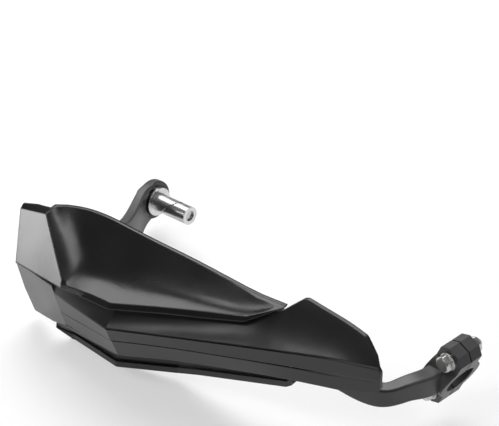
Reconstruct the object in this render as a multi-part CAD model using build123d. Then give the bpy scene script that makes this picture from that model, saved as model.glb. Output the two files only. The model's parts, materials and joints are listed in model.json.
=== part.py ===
from build123d import *
import os
from math import cos, exp, log, radians, sin, tan

os.makedirs("parts", exist_ok=True)

# Motorcycle hand guard for the rider's right hand, in millimetres.
# +X runs inboard along the handlebar, +Y towards the rider, +Z up.
# The origin is the centre of the bar clamp's bore.

# Bar clamp
BAR_DIAMETER = 22.0
BORE_CLEARANCE = 0.2
BAR_FALL = 19.6
BAR_SWEEP = 9.1
CLAMP_WIDTH = 19.0
CLAMP_WALL = 5.4
CLAMP_GAP = 1.0
LUG_DEPTH = 9.6
LUG_REACH = 8.6
LUG_CORNER = 5.0
CLAMP_BOLT_WALL = 4.2
CLAMP_BOLT_D = 6.0
CLAMP_HEAD_ACROSS = 10.0
CLAMP_HEAD_H = 5.4
CLAMP_FLANGE_D = 12.6
CLAMP_FLANGE_H = 1.4
CLAMP_NUT_H = 4.8
BOLT_PROTRUSION = 1.6
BOLT_CLEARANCE = 0.4
HEX_CROWN = 1.12
HEX_CHAMFER = 0.1

# Bar-end mount
GRIP_RISE = 6.5
GRIP_SWEEP = 1.7
FLANGE_CENTRE = (-277.5, 22.5, -18.7)
FLANGE_D = 22.2
FLANGE_T = 5.0
FLANGE_RECESS = 1.0
RECESS_CLEARANCE = 1.0
PLUG_D = 14.0
PLUG_LENGTH = 32.5
PLUG_CUT_ANGLE = 45.0
PLUG_CUT_ROLL = -30.0
PLUG_CUT_AT = 13.8
PLUG_GAP = 0.8
EYE_D = 30.5
EYE_T = 6.5
EYE_ROUND = 1.2
END_BOLT_D = 8.0
END_HEAD_D = 13.0
END_HEAD_H = 7.0
END_SOCKET = 6.0
END_WASHER_D = 18.0
END_WASHER_T = 1.6
END_BOLT_SHORT = 1.5

# Bracket arm. Some sections are given as share of the way, height and thickness.
LAND_CENTRE = (-101.0, -69.0, 16.0)
LAND_YAW = 8.0
LAND_MARGIN = 9.0
SCREW_SPACING = 54.0
ARM_WEB = 4.0
ARM_RIM = 3.0
ARM_RIM_H = 3.8
ARM_HEIGHT = 20.0
ARM_EYE = (0, 30.5, 6.5)
ARM_HEEL = (0.25, 33, 8)
ARM_WAIST = (0.6, 14.5, 9)
ARM_CLAMP = (1, 18, 12)
ARM_CORNER = 1.6

# Shield screws and their inserts
SCREW_D = 6.0
SCREW_HEAD_D = 10.8
SCREW_HEAD_H = 3.4
SCREW_SOCKET = 4.0
HEAD_CROWN = 0.6
SOCKET_DEPTH = 0.6
INSERT_WALL = 1.2
INSERT_LENGTH = 5.0
BOSS_WALL = 2.6

# Mouldings
WALL = 2.4
PLATE_T = 2.5
PLATE_RIM_H = 5.0
PLATE_RIM_T = 1.8
PLATE_BEND = 8.0
STEP_DEPTH = 0.5
GROOVE_DEPTH = 1.5
GROOVE_WIDTH = 1.7
GROOVE_SLOPE = 0.3
SMALL_SCREW_D = 3.5
SMALL_HEAD_D = 7.0
SMALL_HEAD_H = 2.2
SMALL_SOCKET = 2.5
SMALL_SCREW_GRIP = 6.0
TAB_WIDTH = 11.0
TAB_T = 2.5
TAB_DROP = 6.0

# Edges of the spoiler as x, y, z from the outer end to the inner end
BELT = [
    (-295, -115.5, 7.4), (-228.5, -123.2, 20), (-208, -122.8, 23.5), (-186, -121, 24.5),
    (-151, -104, 29.5), (-127, -92.5, 32), (-104, -81.5, 35), (-84, -62.7, 46.3)]
LIP = [
    (-265, -98, 48.5), (-228.5, -122, 22), (-208, -119.7, 26.7), (-186, -118, 28.1),
    (-151, -101.1, 33.2), (-127, -89.5, 35.8), (-104, -79, 37.9), (-84, -62.3, 46.5)]
WING_TOP = [(-295, -97, 38), (-265, -98, 48.5), (-228.5, -99.2, 61.3)]
RIM = [
    (-295, -94, 40), (-265, -90, 52.5), (-249.5, -83, 53.5), (-231, -79, 54.8), (-187, -77.5, 55.1),
    (-156, -73.5, 53.1), (-131, -70.5, 50.8), (-107, -67, 47.3), (-84, -62, 46.6)]
WING_X = LIP[0][0]
WING_FOOT_X = LIP[1][0]
WING_STATIONS = [-295, WING_X, -257, -249.5, -239, WING_FOOT_X]
LIP_STATIONS = [WING_FOOT_X, -218, -208, -197, -186, -174, -162, -151, -139, -127, -115, -104, -95, -85.5]
WING_EDGE = [(-279.5, 10.5), (-293, 40)]
SPOILER_WALL = (0, 1.2, -1.1)

# Scoop of the spoiler: a floor behind the lip, a side beside the wing and a back below the rim
SCOOP_TILT = 46.0
FLOOR_FALL = 0.606
SIDE_FALL = (0.473, 0.506)
SCOOP_ROUND = 2.6
SCOOP_EDGE_ROUND = 1.0
SCOOP_ROUND_RUN = 16.0
LIP_REACH = 6.0
FLOOR_REACH = 20.0
RIM_REACH = 12.0
SCOOP_MARGIN = 12.0
SCOOP_ENDS = (-272, -80)
SCOOP_ALONG = 40
SCOOP_ACROSS = 18

# Edges of the main guard as x, y, z from the outer end to the inner end
TIP_TOP = [(-285, -114.5, 8), (-236, -123.5, 17)]
TIP_FOOT = [(-285, -104, -42), (-236, -111, -42)]
SEAM = [
    (-236, -121, 16.5), (-185, -116.5, 23), (-152, -99.5, 28), (-107, -78.5, 33), (-93, -69, 40),
    (-72, -59, 59), (-42, -54.5, 56), (-5, -55, 50)]
UPPER_RIDGE = [
    (-236, -122.2, 11), (-185, -125.5, 11.5), (-147, -108.5, 16), (-100, -89.5, 23), (-67, -78, 29),
    (-42, -68, 32.5), (-5, -58.5, 38)]
LOWER_RIDGE = [
    (-236, -118.2, -8), (-185, -121.5, -1.5), (-150, -106.5, 3.5), (-101, -88, 10), (-69, -77.5, 15.5),
    (-41, -68, 19.5), (-5, -60.5, 30)]
HEM = [
    (-254.5, -109.9, -34.6), (-236, -115.3, -22), (-185, -115.5, -19.5), (-150, -101, -12.5),
    (-103, -83.5, -5.5), (-69, -75.5, 2), (-38, -68, 8), (-5, -61, 23)]
HOLLOW = [(-236, 0.2), (-185, 2.0), (-150, 2.5), (-107, 2.0), (-72, 4.0), (-42, 3.5), (-5, 0.5)]
UPPER_FADE = [(-236, 0.1), (-185, 1.0), (-60, 1.0), (-42, 0.7), (-5, 0.1)]
LOWER_FADE = [(-236, 0.1), (-185, 1.0), (-66, 1.0), (-36, 0.1), (-5, 0.05)]
FACET_X = UPPER_RIDGE[0][0]
PANEL_ENDS = (-185, -5)
PANEL_ALONG = 18
PANEL_REACH = 14.0
GUARD_OUTLINE = [
    (-281.5, 9.3), (-262, 13), (-236, 17.9), (-226, 19.6), (-214, 23.7), (-185, 27.2), (-152, 32.2),
    (-107, 37.2), (-90, 41.9), (-86, 43.8), (-74, 56), (-45, 51), (-29, 48.5), (-18.5, 41),
    (-12.5, 33.5), (-10.5, 18.2), (-38, 8), (-69, 2), (-103, -5.5), (-150, -12.5), (-185, -19.5), (-234, -21.5), (-254.5, -34.6),
    (-281.3, -43.6), (-283.9, -21.3)]
EAR_START_X = -80.0
EAR_LOW_Z = 15.0
EAR_ROUND = 6.0

# Lower plate: bends in plan, and its outline seen from the front
PLATE_PLAN = [(-254, -108.5), (-244.5, -101), (-202, -101)]
PLATE_LAND_X = -160.0
PLATE_END_X = -66.0
SHELF_EDGE = [(-252, -40), (-243, -43), (-202, -39), (-178, -20), (-160, -4)]
SHELF_CLEARANCE = 1.0
PLATE_KEEL = [
    (-254, -38.2), (-244.5, -49.7), (-202, -50.3), (-160, -42.4), (-143, -35.2), (-75, -9.3), (-71, -5.8)]
PLATE_TOP = [
    (PLATE_END_X, 2), (PLATE_END_X, 25), (-131, 25), (-133, 4), (-160, -2), (-198, -36), (-244, -40),
    (-254, -36.5)]

# Points along the arm, between the eye and the land and between the land and the clamp
ARM_OUTER = [
    (-275.5, -6, -20.5), (-265, -27, -17.5), (-255.5, -46, -8), (-244, -61, 2.5), (-226, -71.5, 11),
    (-190, -79.5, 16)]
ARM_INNER = [(-45, -57.5, 8), (-28.5, -52, 1.5), (-16.5, -46, 1), (-9, -36, 3.5)]
ARM_STATIONS = 15
CHANNEL_START = 4

# Small screws that hold the spoiler on the main guard: x, height, and the tab's plane
SPOILER_FIXINGS = {"outer": (-240, 9, -109), "middle": (-190, 16, -108), "inner": (-150, 20, -87)}

# Construction allowances
BACKING = 40.0
OVERRUN = 9.0
FAR = 200.0
AVERAGE_STEPS = 4
SURFACE_TOLERANCE = 0.03
CUBIC = 3
ABOVE = (Align.CENTER, Align.CENTER, Align.MIN)
BELOW = (Align.CENTER, Align.CENTER, Align.MAX)


def at(rail, x):
    """Values of a rail at a distance along X."""
    for before, after in zip(rail, rail[1:]):
        if x <= after[0]:
            break
    share = (x - before[0]) / (after[0] - before[0])
    return [a + (b - a) * share for a, b in zip(before[1:], after[1:])]


def mean_at(rail, x, reach):
    """Values of a rail averaged over a reach to both sides, which rounds its corners."""
    spots = [x + reach * step / AVERAGE_STEPS for step in range(-AVERAGE_STEPS, AVERAGE_STEPS + 1)]
    return [sum(column) / len(spots) for column in zip(*[at(rail, spot) for spot in spots])]


def spread(ends, count):
    """Evenly spread stations from one end to the other."""
    start, end = ends
    return [start + (end - start) * number / count for number in range(count + 1)]


def offset_chain(points, distance):
    """Offset an open chain of flat points to the left of its run."""
    left = chain_sides(points)
    moved = [Vector(*points[0]) + left[0] * distance]
    for middle, before, after in zip(points[1:], left, left[1:]):
        both = before + after
        moved.append(Vector(*middle) + both * (distance / both.dot(after)))
    moved.append(Vector(*points[-1]) + left[-1] * distance)
    return [(p.X, p.Y) for p in moved]


def chain_sides(points):
    """Left-hand directions of the legs of a flat chain."""
    legs = [(Vector(*b) - Vector(*a)).normalized() for a, b in zip(points, points[1:])]
    return [Vector(-leg.Y, leg.X) for leg in legs]


def section_plane(x):
    return Plane((x, 0, 0), x_dir=(0, 1, 0), z_dir=(1, 0, 0))


def backed_face(x, chain, hollow=0):
    """Cross-section at x between a chain of y, z points, run on at both ends, and a far edge behind it."""
    first, second, *_ = chain = [Vector(*p) for p in chain]
    chain[0] = first + (first - second).normalized() * OVERRUN
    chain[-1] = chain[-1] + (chain[-1] - chain[-2]).normalized() * OVERRUN
    back = Vector(BACKING, 0)
    sides = [Polyline(*chain[1:], chain[-1] + back, chain[0] + back, chain[0])]
    if hollow:
        leg = (chain[1] - chain[0]).normalized()
        middle = (chain[0] + chain[1]) / 2 + Vector(-leg.Y, leg.X) * hollow
        sides.append(ThreePointArc(chain[0], middle, chain[1]))
    else:
        sides.append(Line(chain[0], chain[1]))
    return section_plane(x) * make_face(sides)


def rim_reach(x):
    """Reach over which the rim is averaged, none at the outer end."""
    return min(RIM_REACH, x - RIM[0][0])


def block_face(x, rails, overrun):
    """Cross-section of the spoiler's block at x, run on below the belt and above the rim."""
    chain = [Vector(*at(rail, x)) for rail in rails] + [Vector(*mean_at(RIM, x, rim_reach(x)))]
    chain[0] = chain[0] + (chain[0] - chain[1]).normalized() * overrun
    chain[-1] = chain[-1] + Vector(cos(radians(SCOOP_TILT)), sin(radians(SCOOP_TILT))) * overrun
    back = Vector(BACKING, 0)
    return section_plane(x) * make_face(Polyline(chain[0] + back, *chain, chain[-1] + back, close=True))


def spoiler_block(overrun):
    wing = loft([block_face(x, (BELT, WING_TOP), overrun) for x in WING_STATIONS], ruled=True)
    return wing + loft([block_face(x, (BELT, LIP), overrun) for x in LIP_STATIONS], ruled=True)


def scoop_local(x, yz):
    """Distance up the scoop's back and height out of it."""
    place = SCOOP.to_local_coords(Vector(x, *yz))
    return place.Y, place.Z


def scoop_point(x, share):
    """Point of the scoop where its floor, side and back flow into each other."""
    lip_w, _ = scoop_local(x, mean_at(LIP, x, LIP_REACH))
    rim_w, back = scoop_local(x, mean_at(RIM, x, rim_reach(x)))
    w = lip_w - SCOOP_MARGIN + (rim_w - lip_w + 2 * SCOOP_MARGIN) * share
    inside = min(max((w - lip_w) / SCOOP_ROUND_RUN, 0), 1)
    soft = SCOOP_EDGE_ROUND + (SCOOP_ROUND - SCOOP_EDGE_ROUND) * inside
    floor_w, floor_h = scoop_local(x, mean_at(LIP[1:], x, LIP_REACH + FLOOR_REACH * inside))
    floor = floor_h - FLOOR_FALL * (w - floor_w)
    wing_w, wing_h = scoop_local(WING_X, LIP[0][1:])
    side = wing_h - SIDE_FALL[0] * (x - WING_X) - SIDE_FALL[1] * (w - wing_w)
    top = max(floor, side, back)
    return Vector(x, w, top + soft * log(sum(exp((h - top) / soft) for h in (floor, side, back))))


def groove(ridge, inward, down):
    """Ridge with a narrow groove below it, after which the face lies a step further in."""
    floor = ridge + inward * GROOVE_DEPTH
    end = ridge + inward * STEP_DEPTH + down * (GROOVE_WIDTH + GROOVE_SLOPE)
    return [ridge, floor + down * GROOVE_SLOPE, floor + down * GROOVE_WIDTH, end]


def panel_faces(x):
    """Outer and inner section of the main guard's panel and of the facets before it."""
    reach = max(min(PANEL_REACH, x - PANEL_ENDS[0], PANEL_ENDS[1] - x), 0)
    chain = [mean_at(rail, x, reach) for rail in (SEAM, UPPER_RIDGE, LOWER_RIDGE, HEM)]
    seam, upper, lower, hem = [Vector(*p) for p in chain]
    left = chain_sides(chain)
    hollow = at(HOLLOW, x)[0]
    upper_groove = groove(upper, left[1] * at(UPPER_FADE, x)[0], (lower - upper).normalized())
    lower_groove = groove(lower, left[2] * at(LOWER_FADE, x)[0], (hem - lower).normalized())
    front = [seam, *upper_groove, *lower_groove, hem]
    return backed_face(x, front, hollow), backed_face(x, offset_chain(chain, WALL), hollow)


def tip_faces(x):
    """Outer and inner section of the flat tip."""
    chain = [at(TIP_TOP, x), at(TIP_FOOT, x)]
    return backed_face(x, chain), backed_face(x, offset_chain(chain, WALL))


def bodies(faces, stations, ruled=True):
    """Outer and inner body lofted through the section faces at some stations."""
    return [loft(list(row), ruled=ruled) for row in zip(*[faces(x) for x in stations])]


def front_face(outline):
    return make_face(Polyline(*[(x, 0, z) for x, z in outline], close=True))


def front_prism(face):
    """Prism through the whole depth with an outline seen from the front."""
    return extrude(face, FAR, both=True)


def plate_front(x):
    """Place in plan of the lower plate's front on the land."""
    along = (x - LAND_CENTRE[0]) * tan(radians(LAND_YAW))
    return (x, LAND_CENTRE[1] + along - plate_front_z / cos(radians(LAND_YAW)))


def ribbon(forward):
    """The lower plate's bent band over the full height."""
    front = offset_chain(plan, -forward)
    back = offset_chain(plan, PLATE_T)
    sides = [FilletPolyline(*front, radius=PLATE_BEND), FilletPolyline(*back, radius=PLATE_BEND)]
    sides = sides + [Line(front[0], back[0]), Line(front[-1], back[-1])]
    return extrude(make_face(sides), FAR, both=True)


def shelf_face(x, z):
    """Section of the shelf that closes the space between the plate's outer part and the hem."""
    hem_y, hem_z = at(HEM, x)
    start = (at(plan, x)[0] + PLATE_T / 2, z)
    end = (hem_y + WALL + SHELF_CLEARANCE, hem_z)
    back = offset_chain([start, end], PLATE_T)
    return section_plane(x) * make_face(Polyline(start, end, back[1], back[0], close=True))


def arm_rows(points, ways, sizes):
    """Place, height and thickness of each station along the arm."""
    path = Spline(*points, tangents=ways)
    rows = []
    for share in spread((0, 1), ARM_STATIONS - 1):
        way = path.tangent_at(share)
        place = Plane(path.position_at(share), x_dir=Vector(0, 0, 1).cross(way), z_dir=way)
        rows.append((place, *at(sizes, share)))
    return rows


def arm_section(place, height, thickness):
    return place * RectangleRounded(thickness, height, ARM_CORNER)


def channel_section(place, height, thickness):
    return place * Pos(thickness / 2, 0, 0) * Rectangle(2 * ARM_RIM, height - 2 * ARM_RIM_H)


def direction(rise, sweep):
    flat = cos(radians(rise))
    return Vector(flat * cos(radians(sweep)), -flat * sin(radians(sweep)), sin(radians(rise)))


def save(part, name):
    part.label = name
    export_step(part, f"parts/{name}.step")


def button_screw(diameter, head_d, head_h, length, socket):
    """Screw along -Z with its seat at the origin."""
    head = Cylinder(head_d / 2, head_h, align=ABOVE)
    head = fillet(head.edges().group_by(Axis.Z)[-1], head_h * HEAD_CROWN)
    hexagon = RegularPolygon(socket / 2, 6, major_radius=False)
    hollow = extrude(Pos(0, 0, head_h) * hexagon, -head_h * SOCKET_DEPTH)
    return head - hollow + Cylinder(diameter / 2, length, align=BELOW)


def flanged_hex(flange_d, flange_h, across, height):
    """Hexagon with a flange, standing on the origin."""
    hexagon = extrude(Pos(0, 0, flange_h) * RegularPolygon(across / 2, 6, major_radius=False), height)
    crown = Pos(0, 0, flange_h) * Cylinder(across * HEX_CROWN / 2, height, align=ABOVE)
    crown = chamfer(crown.edges().group_by(Axis.Z)[-1], across * HEX_CHAMFER)
    return Cylinder(flange_d / 2, flange_h, align=ABOVE) + (hexagon & crown)


# Working planes
bar_axis = direction(-BAR_FALL, BAR_SWEEP)
clamp_front = Vector(bar_axis.Y, -bar_axis.X, 0).normalized()
CLAMP = Plane((0, 0, 0), x_dir=bar_axis, z_dir=clamp_front)
GRIP = Plane(
    FLANGE_CENTRE, x_dir=direction(GRIP_RISE + 90, GRIP_SWEEP), z_dir=direction(GRIP_RISE, GRIP_SWEEP))
land_along = Vector(cos(radians(LAND_YAW)), sin(radians(LAND_YAW)), 0)
land_front = Vector(sin(radians(LAND_YAW)), -cos(radians(LAND_YAW)), 0)
LAND = Plane(LAND_CENTRE, x_dir=land_along, z_dir=land_front)
SCOOP = Plane((0, 0, 0), x_dir=(1, 0, 0), z_dir=(0, -sin(radians(SCOOP_TILT)), cos(radians(SCOOP_TILT))))

# Spoiler
shares = spread((0, 1), SCOOP_ACROSS)
scoop_rows = [[scoop_point(x, share) for share in shares] for x in spread(SCOOP_ENDS, SCOOP_ALONG)]
scoop_face = Face.make_surface_from_array_of_points(
    scoop_rows, tol=SURFACE_TOLERANCE, min_deg=CUBIC, max_deg=CUBIC)
scoop_room = SCOOP * extrude(scoop_face, FAR, dir=(0, 0, 1))
spoiler_body = spoiler_block(0) - scoop_room
spoiler_core = Pos(*SPOILER_WALL) * (spoiler_block(OVERRUN) - scoop_room)
(low_x, low_z), (high_x, high_z) = WING_EDGE
lean = (high_x - low_x) / (high_z - low_z)
wing_trim = front_prism(front_face([
    (low_x - FAR * lean, low_z - FAR), (low_x + FAR * lean, low_z + FAR),
    (low_x - 2 * FAR, low_z + FAR), (low_x - 2 * FAR, low_z - FAR)]))
spoiler = spoiler_body - spoiler_core - wing_trim

# Main guard
tip = bodies(tip_faces, [TIP_TOP[0][0], FACET_X])
facets = bodies(panel_faces, [FACET_X, PANEL_ENDS[0]])
panel = bodies(panel_faces, spread(PANEL_ENDS, PANEL_ALONG), ruled=False)
guard_body, guard_core = [a + b + c for a, b, c in zip(tip, facets, panel)]
outline_face = front_face(GUARD_OUTLINE)
ear_corners = outline_face.vertices().filter_by(lambda v: v.X > EAR_START_X and v.Z > EAR_LOW_Z)
guard_outline = front_prism(fillet(ear_corners, EAR_ROUND))
main_guard = (guard_body - guard_core) & guard_outline

# Tabs and bosses that join the spoiler and the main guard
small_boss_r = SMALL_SCREW_D / 2 + BOSS_WALL
small_length = TAB_T + SMALL_SCREW_GRIP
for name, (x, z, y) in SPOILER_FIXINGS.items():
    belt_z = at(BELT, x)[1]
    low = z - TAB_DROP
    upper_tab = Pos(x, y + TAB_T / 2, belt_z) * Box(TAB_WIDTH, TAB_T, FAR, align=ABOVE)
    lower_tab = Pos(x, y + TAB_T / 2, low) * Box(TAB_WIDTH, TAB_T, belt_z + WALL - low, align=ABOVE)
    seat = Plane((x, y + TAB_T, z), x_dir=(1, 0, 0), z_dir=(0, 1, 0))
    hole = seat * Cylinder((SMALL_SCREW_D + BOLT_CLEARANCE) / 2, 2 * TAB_T + WALL)
    spoiler = spoiler + (upper_tab & spoiler_body) + lower_tab - hole
    boss = Plane((x, y, z), z_dir=(0, -1, 0)) * Cylinder(small_boss_r, FAR, align=ABOVE)
    pilot = seat * Cylinder(SMALL_SCREW_D / 2, small_length, align=BELOW)
    main_guard = main_guard + (boss & guard_body & guard_outline) - pilot
    screw = button_screw(SMALL_SCREW_D, SMALL_HEAD_D, SMALL_HEAD_H, small_length, SMALL_SOCKET)
    save(seat * screw, f"spoiler_screw_{name}")

# Lower plate
plate_front_z = ARM_WEB + PLATE_T
plan = PLATE_PLAN + [plate_front(PLATE_LAND_X), plate_front(PLATE_END_X)]
rim_band = PLATE_KEEL + [(x, z + PLATE_RIM_H) for x, z in PLATE_KEEL[:0:-1]]
lower_plate = ribbon(0) & front_prism(front_face(PLATE_KEEL + PLATE_TOP))
lower_plate = lower_plate + (ribbon(PLATE_RIM_T) & front_prism(front_face(rim_band)))
lower_plate = lower_plate + loft([shelf_face(x, z) for x, z in SHELF_EDGE], ruled=True)

# Screws through the arm and the lower plate into the main guard
insert_r = SCREW_D / 2 + INSERT_WALL
screw_length = plate_front_z + INSERT_LENGTH
screw_spots = {"outer": LAND * Pos(-SCREW_SPACING / 2, 0, 0), "inner": LAND * Pos(SCREW_SPACING / 2, 0, 0)}
screw_holes = []
for name, spot in screw_spots.items():
    seat = spot * Pos(0, 0, plate_front_z)
    boss = seat * Cylinder(insert_r + BOSS_WALL, FAR, align=ABOVE)
    pocket = seat * Cylinder(insert_r, INSERT_LENGTH, align=ABOVE)
    main_guard = main_guard + (boss & guard_body & guard_outline) - pocket
    save(pocket - spot * Cylinder(SCREW_D / 2, FAR), f"guard_insert_{name}")
    screw = button_screw(SCREW_D, SCREW_HEAD_D, SCREW_HEAD_H, screw_length, SCREW_SOCKET)
    save(spot * Rot(180, 0, 0) * screw, f"guard_screw_{name}")
    screw_holes.append(spot * Cylinder((SCREW_D + BOLT_CLEARANCE) / 2, 2 * (plate_front_z + OVERRUN)))
lower_plate = lower_plate - screw_holes
save(spoiler, "spoiler")
save(main_guard, "main_guard")
save(lower_plate, "lower_plate")

# Bracket arm
land_length = SCREW_SPACING + 2 * LAND_MARGIN
land_middle = (ARM_WEB - ARM_RIM) / 2
land = LAND * Pos(0, 0, land_middle) * Box(land_length, ARM_HEIGHT, ARM_WEB + ARM_RIM)
land_start = (LAND * Pos(-land_length / 2, 0, land_middle)).position
land_end = (LAND * Pos(land_length / 2, 0, land_middle)).position
land_size = (ARM_HEIGHT, ARM_WEB + ARM_RIM)
seat_z = FLANGE_RECESS - FLANGE_T
eye_place = GRIP * Pos(0, 0, seat_z - EYE_T / 2)
clamp_end = clamp_front * (BAR_DIAMETER / 2)
outer_rows = arm_rows(
    [eye_place.position] + ARM_OUTER + [land_start], [Vector(0, -1, 0), land_along],
    [ARM_EYE, ARM_HEEL, (1, *land_size)])
inner_rows = arm_rows(
    [land_end] + ARM_INNER + [clamp_end], [land_along, clamp_front * -1],
    [(0, *land_size), ARM_WAIST, ARM_CLAMP])
outer_arm = loft([arm_section(*row) for row in outer_rows])
inner_arm = loft([arm_section(*row) for row in inner_rows])
channel = loft([channel_section(*row) for row in outer_rows[CHANNEL_START:]])
channel = channel + LAND * Box(land_length, ARM_HEIGHT - 2 * ARM_RIM_H, FAR / 2, align=BELOW)

# Clamp
bore_r = (BAR_DIAMETER + BORE_CLEARANCE) / 2
clamp_bolt_y = bore_r + CLAMP_BOLT_WALL + CLAMP_BOLT_D / 2
lug_face = Rectangle(CLAMP_WIDTH, 2 * (clamp_bolt_y + LUG_REACH))
lug_face = chamfer(lug_face.vertices(), LUG_CORNER)
clamp_body = extrude(CLAMP * lug_face, LUG_DEPTH, both=True)
clamp_body = clamp_body + CLAMP * Rot(0, 90, 0) * Cylinder(bore_r + CLAMP_WALL, CLAMP_WIDTH)
bore = CLAMP * Rot(0, 90, 0) * Cylinder(bore_r, 2 * CLAMP_WIDTH)
front_space = CLAMP * Pos(0, 0, CLAMP_GAP / 2) * Box(FAR, FAR, FAR, align=ABOVE)
rear_space = CLAMP * Pos(0, 0, -CLAMP_GAP / 2) * Box(FAR, FAR, FAR, align=BELOW)
bolt_spots = {"upper": CLAMP * Pos(0, clamp_bolt_y, 0), "lower": CLAMP * Pos(0, -clamp_bolt_y, 0)}
bolt_hole = Cylinder((CLAMP_BOLT_D + BOLT_CLEARANCE) / 2, FAR / 2)
bolt_holes = [spot * bolt_hole for spot in bolt_spots.values()]
head_room_r = CLAMP_FLANGE_D / 2 + BOLT_CLEARANCE
head_room = Pos(0, 0, LUG_DEPTH) * Cylinder(head_room_r, FAR / 2, align=ABOVE)
nut_room = Pos(0, 0, -LUG_DEPTH) * Cylinder(head_room_r, FAR / 2, align=BELOW)
clamp_cap = (clamp_body & rear_space) - bore - bolt_holes
save(clamp_cap - [spot * nut_room for spot in bolt_spots.values()], "clamp_cap")

# Eye, and the bracket as one piece
eye = eye_place * Cylinder(EYE_D / 2, EYE_T)
eye = fillet(eye.edges(), EYE_ROUND)
recess = GRIP * Pos(0, 0, -FLANGE_T) * Cylinder(FLANGE_D / 2 + RECESS_CLEARANCE, FAR / 2, align=ABOVE)
outer_face = GRIP * Pos(0, 0, seat_z - EYE_T)
washer_room = outer_face * Cylinder(END_WASHER_D / 2 + RECESS_CLEARANCE, FAR / 2, align=BELOW)
end_hole = eye_place * Cylinder((END_BOLT_D + BOLT_CLEARANCE) / 2, 2 * EYE_T)
arm = outer_arm + land + inner_arm - channel
bracket = (arm + (clamp_body & front_space)) - bore - bolt_holes
bracket = bracket - [spot * head_room for spot in bolt_spots.values()]
bracket = bracket + eye - recess - washer_room - end_hole - screw_holes
save(bracket, "bracket")

# Clamp bolts and nuts
bolt_length = 2 * LUG_DEPTH + CLAMP_FLANGE_H + CLAMP_NUT_H + BOLT_PROTRUSION
for name, spot in bolt_spots.items():
    shank = Cylinder(CLAMP_BOLT_D / 2, bolt_length, align=BELOW)
    bolt = flanged_hex(CLAMP_FLANGE_D, CLAMP_FLANGE_H, CLAMP_HEAD_ACROSS, CLAMP_HEAD_H) + shank
    save(spot * Pos(0, 0, LUG_DEPTH) * bolt, f"clamp_bolt_{name}")
    nut = flanged_hex(CLAMP_FLANGE_D, CLAMP_FLANGE_H, CLAMP_HEAD_ACROSS, CLAMP_NUT_H)
    nut = nut - Cylinder(CLAMP_BOLT_D / 2, FAR)
    save(spot * Pos(0, 0, -LUG_DEPTH) * Rot(180, 0, 0) * nut, f"clamp_nut_{name}")

# Bar-end mount
collar = Cylinder(FLANGE_D / 2, FLANGE_T, align=BELOW)
plug = Cylinder(PLUG_D / 2, PLUG_LENGTH, align=ABOVE)
cut_place = Pos(0, 0, PLUG_CUT_AT) * Rot(0, 0, PLUG_CUT_ROLL) * Rot(0, PLUG_CUT_ANGLE - 90, 0)
beyond_cut = cut_place * Box(FAR, FAR, FAR, align=ABOVE)
beyond_gap = cut_place * Pos(0, 0, PLUG_GAP) * Box(FAR, FAR, FAR, align=ABOVE)
sleeve_hole = Cylinder((END_BOLT_D + BOLT_CLEARANCE) / 2, FAR)
save(GRIP * (collar + (plug - beyond_cut) - sleeve_hole), "bar_end_sleeve")
save(GRIP * ((plug & beyond_gap) - Cylinder(END_BOLT_D / 2, FAR)), "bar_end_wedge")
washer = Cylinder(END_WASHER_D / 2, END_WASHER_T, align=BELOW)
save(outer_face * (washer - sleeve_hole), "bar_end_washer")
end_length = END_WASHER_T + EYE_T - seat_z + PLUG_LENGTH - END_BOLT_SHORT
head = Cylinder(END_HEAD_D / 2, END_HEAD_H, align=ABOVE)
socket_face = Pos(0, 0, END_HEAD_H) * RegularPolygon(END_SOCKET / 2, 6, major_radius=False)
end_bolt = head - extrude(socket_face, -END_HEAD_H / 2) + Cylinder(END_BOLT_D / 2, end_length, align=BELOW)
save(outer_face * Pos(0, 0, -END_WASHER_T) * Rot(180, 0, 0) * end_bolt, "bar_end_bolt")
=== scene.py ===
# %% [markdown]
# # A motorcycle hand guard
# A hand guard keeps wind, rain and branches off a rider's hand. A bent metal bracket is clamped to the
# handlebar at its inner end and plugged into the open end of the bar at its outer end. It carries three
# black mouldings: a main guard, a scooped spoiler above it and a plate below it.
# The solids come in as a fixed frame, at their real size and in metres. They already have the true shapes,
# so no piece is modelled again here. This lesson gives each solid its finish, then adds a floor, soft light
# and a camera.

# %% Load the frame
import json
import math

import bmesh
import bpy
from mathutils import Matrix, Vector


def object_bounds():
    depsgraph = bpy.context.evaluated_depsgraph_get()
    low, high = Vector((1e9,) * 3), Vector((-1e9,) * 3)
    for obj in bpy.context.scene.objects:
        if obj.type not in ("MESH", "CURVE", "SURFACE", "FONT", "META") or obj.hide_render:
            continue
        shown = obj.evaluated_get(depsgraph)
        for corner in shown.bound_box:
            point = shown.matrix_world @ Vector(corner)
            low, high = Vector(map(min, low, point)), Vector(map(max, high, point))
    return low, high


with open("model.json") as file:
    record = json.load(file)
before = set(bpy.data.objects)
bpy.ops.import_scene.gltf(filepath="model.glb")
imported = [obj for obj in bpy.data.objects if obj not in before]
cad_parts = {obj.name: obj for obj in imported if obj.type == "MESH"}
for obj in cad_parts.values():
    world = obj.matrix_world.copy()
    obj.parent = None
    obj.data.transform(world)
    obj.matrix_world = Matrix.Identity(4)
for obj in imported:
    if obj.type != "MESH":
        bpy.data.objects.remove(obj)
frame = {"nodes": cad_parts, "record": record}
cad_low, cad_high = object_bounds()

MM = 0.001
nodes = frame["nodes"]
print("nodes:", len(nodes), "size in mm:", [round(v / MM, 1) for v in cad_high - cad_low])

# %% [markdown]
# ## Small helpers for shader trees
# Every finish below is a tree of shader nodes. Such a tree could be wired line by line, but most of those
# lines would say the same thing again. Four helpers keep the trees short. One adds a node, sets its values
# and links its inputs. One multiplies a value by a number. One starts a material and sets the constant
# sockets of its shader. One starts a node group, for an effect that several finishes share.

# %% Shader helpers
FLOAT, VECTOR = "NodeSocketFloat", "NodeSocketVector"


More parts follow.
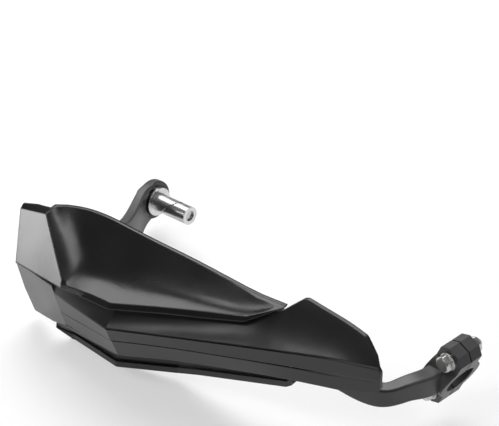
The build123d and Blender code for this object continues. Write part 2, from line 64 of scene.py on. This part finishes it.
def add_node(tree, kind, links=(), **values):
    """Add a node, set its properties or input values by name, and link its inputs."""
    node = tree.nodes.new(kind)
    for name, value in values.items():
        if hasattr(node, name):
            setattr(node, name, value)
        else:
            node.inputs[name.replace("_", " ")].default_value = value
    for name, source in dict(links).items():
        tree.links.new(source, node.inputs[name])
    return node


def times(tree, source, factor):
    """Multiply a value by a number."""
    product = add_node(tree, "ShaderNodeMath", {0: source}, operation="MULTIPLY")
    product.inputs[1].default_value = factor
    return product.outputs[0]


def new_material(name, **values):
    """Start a material, set constant sockets of its shader, and return it with its tree and shader."""
    material = bpy.data.materials.new(name)
    material.use_nodes = True
    tree = material.node_tree
    shader = tree.nodes["Principled BSDF"]
    for socket, value in values.items():
        shader.inputs[socket.replace("_", " ")].default_value = value
    return material, tree, shader


def new_group(name, inputs, outputs):
    """Start a node group with float or vector sockets, and return it with its two ends."""
    group = bpy.data.node_groups.new(name, "ShaderNodeTree")
    for label, kind in inputs:
        group.interface.new_socket(label, in_out="INPUT", socket_type=kind)
    for label, kind in outputs:
        group.interface.new_socket(label, in_out="OUTPUT", socket_type=kind)
    return group, group.nodes.new("NodeGroupInput").outputs, group.nodes.new("NodeGroupOutput").inputs


print("helpers ready")

# %% [markdown]
# ## Grain
# A mould's spark-eroded face leaves a fine grain in plastic, and powder coat dries to a fine orange
# peel. Both also shine a little unevenly over larger areas. An image could carry that, but noise in Object
# coordinates keeps its real size on every piece and has no seams. The group puts out a roughness, a
# height for the relief and a slow cloud for the colour.

# %% Grain group
NOISE_LOW, NOISE_HIGH = 0.3, 0.7


def build_grain():
    """Group with a fine noise for relief and a slow noise for gloss and colour."""
    group, given, made = new_group(
        "surface_grain",
        [("Vector", VECTOR), ("Grain Scale", FLOAT), ("Cloud Scale", FLOAT), ("Low", FLOAT), ("High", FLOAT)],
        [("Roughness", FLOAT), ("Height", FLOAT), ("Cloud", FLOAT)])
    fine = add_node(
        group, "ShaderNodeTexNoise", {"Vector": given["Vector"], "Scale": given["Grain Scale"]}, Detail=2.0)
    slow = add_node(
        group, "ShaderNodeTexNoise", {"Vector": given["Vector"], "Scale": given["Cloud Scale"]}, Detail=3.0)
    rough = add_node(
        group, "ShaderNodeMapRange",
        {"Value": slow.outputs["Fac"], "To Min": given["Low"], "To Max": given["High"]},
        From_Min=NOISE_LOW, From_Max=NOISE_HIGH)
    group.links.new(rough.outputs["Result"], made["Roughness"])
    group.links.new(fine.outputs["Fac"], made["Height"])
    group.links.new(slow.outputs["Fac"], made["Cloud"])
    return group


grain_group = build_grain()
print("group:", grain_group.name)

# %% [markdown]
# ## Softened edges
# No moulded or coated edge is perfectly sharp: a small radius catches a thin line of light. Rounding
# every edge of the solids would add many small faces. The Bevel node turns the shading normal near an
# edge as such a radius would, so the solids stay as they are.

# %% Edge group
BEVEL_SAMPLES = 8


def build_edges():
    """Group that rounds the normal near edges."""
    group, given, made = new_group(
        "soft_edges", [("Normal", VECTOR), ("Radius", FLOAT)], [("Normal", VECTOR)])
    soft = add_node(
        group, "ShaderNodeBevel", {"Normal": given["Normal"], "Radius": given["Radius"]},
        samples=BEVEL_SAMPLES)
    group.links.new(soft.outputs["Normal"], made["Normal"])
    return group


edge_group = build_edges()
print("group:", edge_group.name)

# %% [markdown]
# ## One finish from a few numbers
# Plastic, powder coat and plated metal differ in colour, gloss and grain, but their trees have the same
# shape: grain, relief, soft edges, and a base colour that drifts between two close tones. Each could have
# a tree of its own. One function that builds the tree from real sizes in millimetres keeps them alike, and
# each finish below is then a single call.

# %% Finish function
RELIEF = 0.1 * MM


def finish(name, dark, light, grain, cloud, gloss, bump, edge, **values):
    """Material with a grain and a cloud size in mm, a range of roughness and an edge radius in mm."""
    material, tree, shader = new_material(name, **values)
    low, high = gloss
    coordinates = add_node(tree, "ShaderNodeTexCoord", name="coordinates").outputs["Object"]
    texture = add_node(
        tree, "ShaderNodeGroup", {"Vector": coordinates}, node_tree=grain_group,
        Grain_Scale=1 / (grain * MM), Cloud_Scale=1 / (cloud * MM), Low=low, High=high)
    relief = add_node(
        tree, "ShaderNodeBump", {"Height": texture.outputs["Height"]}, name="grain_relief",
        Strength=bump, Distance=RELIEF)
    edges = add_node(
        tree, "ShaderNodeGroup", {"Normal": relief.outputs["Normal"]}, name="edges", node_tree=edge_group,
        Radius=edge * MM)
    tones = add_node(tree, "ShaderNodeValToRGB", {"Fac": texture.outputs["Cloud"]})
    for stop, place, tone in zip(tones.color_ramp.elements, (NOISE_LOW, NOISE_HIGH), (dark, light)):
        stop.position = place
        stop.color = (*tone, 1)
    tree.links.new(edges.outputs["Normal"], shader.inputs["Normal"])
    tree.links.new(texture.outputs["Roughness"], shader.inputs["Roughness"])
    tree.links.new(tones.outputs["Color"], shader.inputs["Base Color"])
    return material


print("finish function ready")

# %% [markdown]
# ## Black mouldings
# The spoiler is the glossiest piece: a polished mould leaves it smooth enough to mirror the studio softly.
# The main guard is a shade more satin, and the lower plate has the plain grain of an unpolished mould.
# A lighter grey would show their shape by shading, but the real pieces are nearly black and show it in
# reflections. So the colours stay dark, and the gloss tells the three apart.

# %% Plastic finishes
PLASTIC_IOR = 1.5


def grey(tone):
    """Neutral colour."""
    return (tone, tone, tone)


spoiler_black = finish(
    "spoiler_black", grey(0.006), grey(0.009), grain=0.8, cloud=40.0, gloss=(0.24, 0.29), bump=0.03, edge=1.2,
    IOR=PLASTIC_IOR)
guard_black = finish(
    "guard_black", grey(0.013), grey(0.018), grain=0.5, cloud=40.0, gloss=(0.28, 0.34), bump=0.06, edge=0.8,
    IOR=PLASTIC_IOR)
plate_black = finish(
    "plate_black", grey(0.011), grey(0.016), grain=0.5, cloud=30.0, gloss=(0.34, 0.42), bump=0.15, edge=0.6,
    IOR=PLASTIC_IOR)
print("plastics:", [m.name for m in (spoiler_black, guard_black, plate_black)])

# %% [markdown]
# ## Powder coat on the bracket
# The bracket and its clamp cap are cast metal with a dark grey powder coat. Under the coat they are metal,
# but what shows is a film of baked plastic. So the finish is not set as metal: a grey base under a satin
# skin, with stronger relief than the mouldings.

# %% Bracket finish
bracket_grey = finish(
    "bracket_grey", (0.052, 0.052, 0.054), (0.066, 0.066, 0.068), grain=0.7, cloud=25.0, gloss=(0.36, 0.46),
    bump=0.2, edge=0.7, IOR=PLASTIC_IOR)
print("coat:", bracket_grey.name)

# %% [markdown]
# ## Metals
# The clamp's bolts and nuts, the end bolt and its washer are zinc plated. The screws have a dark plating,
# the inserts are brass and the plug in the bar's end is turned aluminium. A grey plastic could pass for
# metal in one picture only, so all four are set as metal: their colour is the tint of what they mirror.

# %% Metal finishes
zinc = finish(
    "zinc_plate", (0.46, 0.46, 0.45), (0.62, 0.62, 0.60), grain=0.8, cloud=6.0, gloss=(0.24, 0.38),
    bump=0.1, edge=0.4, Metallic=1.0)
dark_steel = finish(
    "dark_steel", (0.10, 0.10, 0.105), (0.15, 0.15, 0.155), grain=0.5, cloud=6.0, gloss=(0.30, 0.42),
    bump=0.1, edge=0.3, Metallic=1.0)
brass = finish(
    "insert_brass", (0.55, 0.40, 0.16), (0.66, 0.50, 0.22), grain=0.6, cloud=5.0, gloss=(0.30, 0.42),
    bump=0.2, edge=0.3, Metallic=1.0)
aluminium = finish(
    "turned_aluminium", (0.56, 0.56, 0.57), (0.68, 0.68, 0.69), grain=0.5, cloud=8.0, gloss=(0.26, 0.34),
    bump=0.01, edge=0.4, Metallic=1.0)
print("metals:", [m.name for m in (zinc, dark_steel, brass, aluminium)])

# %% [markdown]
# ## Turning lines
# A lathe leaves fine rings around the axis of the plug. Cutting them into the solid would cost thousands
# of faces for less than a hair's depth. A sine wave along the plug's axis gives the same lines as relief,
# on top of the grain of the finish above. The axis is that of the plug's mount in the frame.

# %% Turning lines on the plug
RING_PITCH = 0.9 * MM
RING_STRENGTH = 0.04


def add_rings(material, axis):
    """Add rings around an axis to the relief of a finish."""
    tree = material.node_tree
    place = tree.nodes["coordinates"].outputs["Object"]
    along = add_node(tree, "ShaderNodeVectorMath", {0: place}, operation="DOT_PRODUCT")
    along.inputs[1].default_value = axis
    phase = times(tree, along.outputs["Value"], 2 * math.pi / RING_PITCH)
    rings = add_node(tree, "ShaderNodeMath", {0: phase}, operation="SINE")
    relief = add_node(
        tree, "ShaderNodeBump",
        {"Height": rings.outputs[0], "Normal": tree.nodes["grain_relief"].outputs["Normal"]},
        Strength=RING_STRENGTH, Distance=RELIEF)
    tree.links.new(relief.outputs["Normal"], tree.nodes["edges"].inputs["Normal"])


plug_axis = next(mount["axis"] for mount in frame["record"]["mounts"] if mount["name"] == "bar_end_plug")
add_rings(aluminium, plug_axis)
print("rings every", RING_PITCH / MM, "mm along", plug_axis)

# %% [markdown]
# ## Each piece gets its finish
# The finish follows what the piece is made of. Every piece could be named on its own, but pieces whose
# names start alike are made alike, so the two clamp bolts, the two nuts and the screws need one entry for
# each kind. The first entry that fits is taken, so the spoiler's screws come before the spoiler.

# %% Assign the finishes
finishes = {
    "spoiler_screw": dark_steel, "spoiler": spoiler_black,
    "main_guard": guard_black, "lower_plate": plate_black,
    "bracket": bracket_grey, "clamp_cap": bracket_grey,
    "clamp_bolt": zinc, "clamp_nut": zinc,
    "guard_screw": dark_steel, "guard_insert": brass,
    "bar_end_sleeve": aluminium, "bar_end_wedge": aluminium,
    "bar_end_washer": zinc, "bar_end_bolt": zinc}
for name, node in nodes.items():
    node.data.materials.clear()
    node.data.materials.append(next(m for start, m in finishes.items() if name.startswith(start)))
print("finished:", {name: node.data.materials[0].name for name, node in nodes.items()})

# %% [markdown]
# ## Floor
# The guard lies on a white studio sweep, and only its soft shadow shows on it. A large grid through the
# lowest point of the part stands for the sweep. A pale paint alone renders light grey, and more light
# would bleach the part. So the paint also glows a little for rays from the camera, from reflections and
# through glass. The glow is unseen by the other rays, so it does not light matt surfaces.

# %% Make the floor
FLOOR_SIZE = 12.0
FLOOR_PAINT = 0.54
FLOOR_GLOW = 0.47
floor_mesh = bpy.data.meshes.new("floor")
shape = bmesh.new()
bmesh.ops.create_grid(shape, x_segments=1, y_segments=1, size=FLOOR_SIZE / 2)
bmesh.ops.translate(shape, verts=shape.verts, vec=(0, 0, cad_low.z))
shape.to_mesh(floor_mesh)
shape.free()
floor = bpy.data.objects.new("floor", floor_mesh)
bpy.context.scene.collection.objects.link(floor)
print("floor at", round(cad_low.z / MM, 1), "mm")

# %% Paint the floor
floor_paint, tree, shader = new_material(
    "floor_paint", Roughness=0.9, Base_Color=(*grey(FLOOR_PAINT), 1), Specular_IOR_Level=0.0,
    Emission_Color=(*grey(1), 1))
ray = add_node(tree, "ShaderNodeLightPath").outputs
direct = add_node(
    tree, "ShaderNodeMath", {0: ray["Is Camera Ray"], 1: ray["Is Glossy Ray"]}, operation="MAXIMUM")
seeing = add_node(
    tree, "ShaderNodeMath", {0: direct.outputs[0], 1: ray["Is Transmission Ray"]}, operation="MAXIMUM")
tree.links.new(times(tree, seeing.outputs[0], FLOOR_GLOW), shader.inputs["Emission Strength"])
floor_mesh.materials.append(floor_paint)
print("paint:", FLOOR_PAINT, "glow:", FLOOR_GLOW)

# %% [markdown]
# ## Light
# Black plastic shows its shape by what it mirrors. One even dome of light would make it flat, so each lamp
# is placed where a face looks. A large box above and behind draws the light band on the scoop's floor and
# the soft shadow on the sweep. A card at the outer end lights the flat wing; a narrow spread, like a grid
# on a real lamp, keeps its light off the floor. A small box high in front lifts the main guard's upper
# face, and a weak one at the right lifts the bracket. The gap between the card and the front box is meant
# for the scoop's back, which should mirror unlit space and stay dark.

# %% World light
WORLD_LIGHT = 0.10
world = bpy.data.worlds.new("studio")
bpy.context.scene.world = world
world.use_nodes = True
background = world.node_tree.nodes["Background"]
background.inputs["Color"].default_value = (*grey(1), 1)
background.inputs["Strength"].default_value = WORLD_LIGHT
print("world:", WORLD_LIGHT)

# %% Lamps
FULL_SPREAD = 180
WING = Vector((-0.28, -0.11, 0.03))
PANEL = Vector((-0.12, -0.10, 0.02))


def softbox(name, target, way, distance, width, height, radiance, spread=FULL_SPREAD):
    """Rectangular lamp that faces a target from a distance along a way, with a spread in degrees."""
    half = math.radians(spread) / 2
    # Blender keeps a lamp's power as its spread narrows, so its radiance would rise without this factor.
    share = 1 - half / math.tan(half)
    lamp = bpy.data.lights.new(name, "AREA")
    lamp.shape = "RECTANGLE"
    lamp.size, lamp.size_y = width, height
    lamp.energy = radiance * math.pi * width * height * share
    lamp.spread = 2 * half
    box = bpy.data.objects.new(name, lamp)
    way = Vector(way).normalized()
    box.location = target + way * distance
    box.rotation_euler = way.to_track_quat("Z", "Y").to_euler()
    bpy.context.scene.collection.objects.link(box)
    return box


middle = (cad_low + cad_high) / 2
boxes = [
    softbox("overhead", middle, (-0.45, 0.35, 0.85), distance=1.3, width=1.3, height=1.0, radiance=4.6),
    softbox(
        "side_card", WING, (-0.84, -0.54, 0.09), distance=0.8, width=0.28, height=0.28, radiance=12.5,
        spread=60),
    softbox("front_fill", PANEL, (-0.10, -0.47, 0.88), distance=1.0, width=0.32, height=0.30, radiance=7.5),
    softbox("right_fill", middle, (0.75, 0.15, 0.6), distance=1.2, width=0.60, height=0.60, radiance=1.0)]
print("lamps:", [box.name for box in boxes])

# %% [markdown]
# ## Camera
# A camera can be set by eye, but the plug and the clamp have known sizes and can be told well in a picture.
# So its place, its direction and its focal length started from such points and from corners of the
# mouldings. The focal length is known in pixels. It becomes millimetres through the width of the picture
# and the width of the sensor, which is that of a small-format camera.

# %% Place the camera
CAMERA_AT = Vector((0.3326, -0.5860, 0.6495))
AZIMUTH, ELEVATION = math.radians(40.55), math.radians(38.32)
PICTURE_WIDTH, FOCAL_PIXELS = 499, 1442
SENSOR_WIDTH = 36.0
lens = bpy.data.cameras.new("camera")
lens.sensor_width = SENSOR_WIDTH
lens.lens = SENSOR_WIDTH * FOCAL_PIXELS / PICTURE_WIDTH
camera = bpy.data.objects.new("camera", lens)
level = math.cos(ELEVATION)
backward = Vector((math.sin(AZIMUTH) * level, -math.cos(AZIMUTH) * level, math.sin(ELEVATION)))
camera.location = CAMERA_AT
camera.rotation_euler = backward.to_track_quat("Z", "Y").to_euler()
bpy.context.scene.collection.objects.link(camera)
bpy.context.scene.camera = camera
bpy.context.scene.view_settings.view_transform = "Standard"
print("focal length in mm:", round(lens.lens, 1))
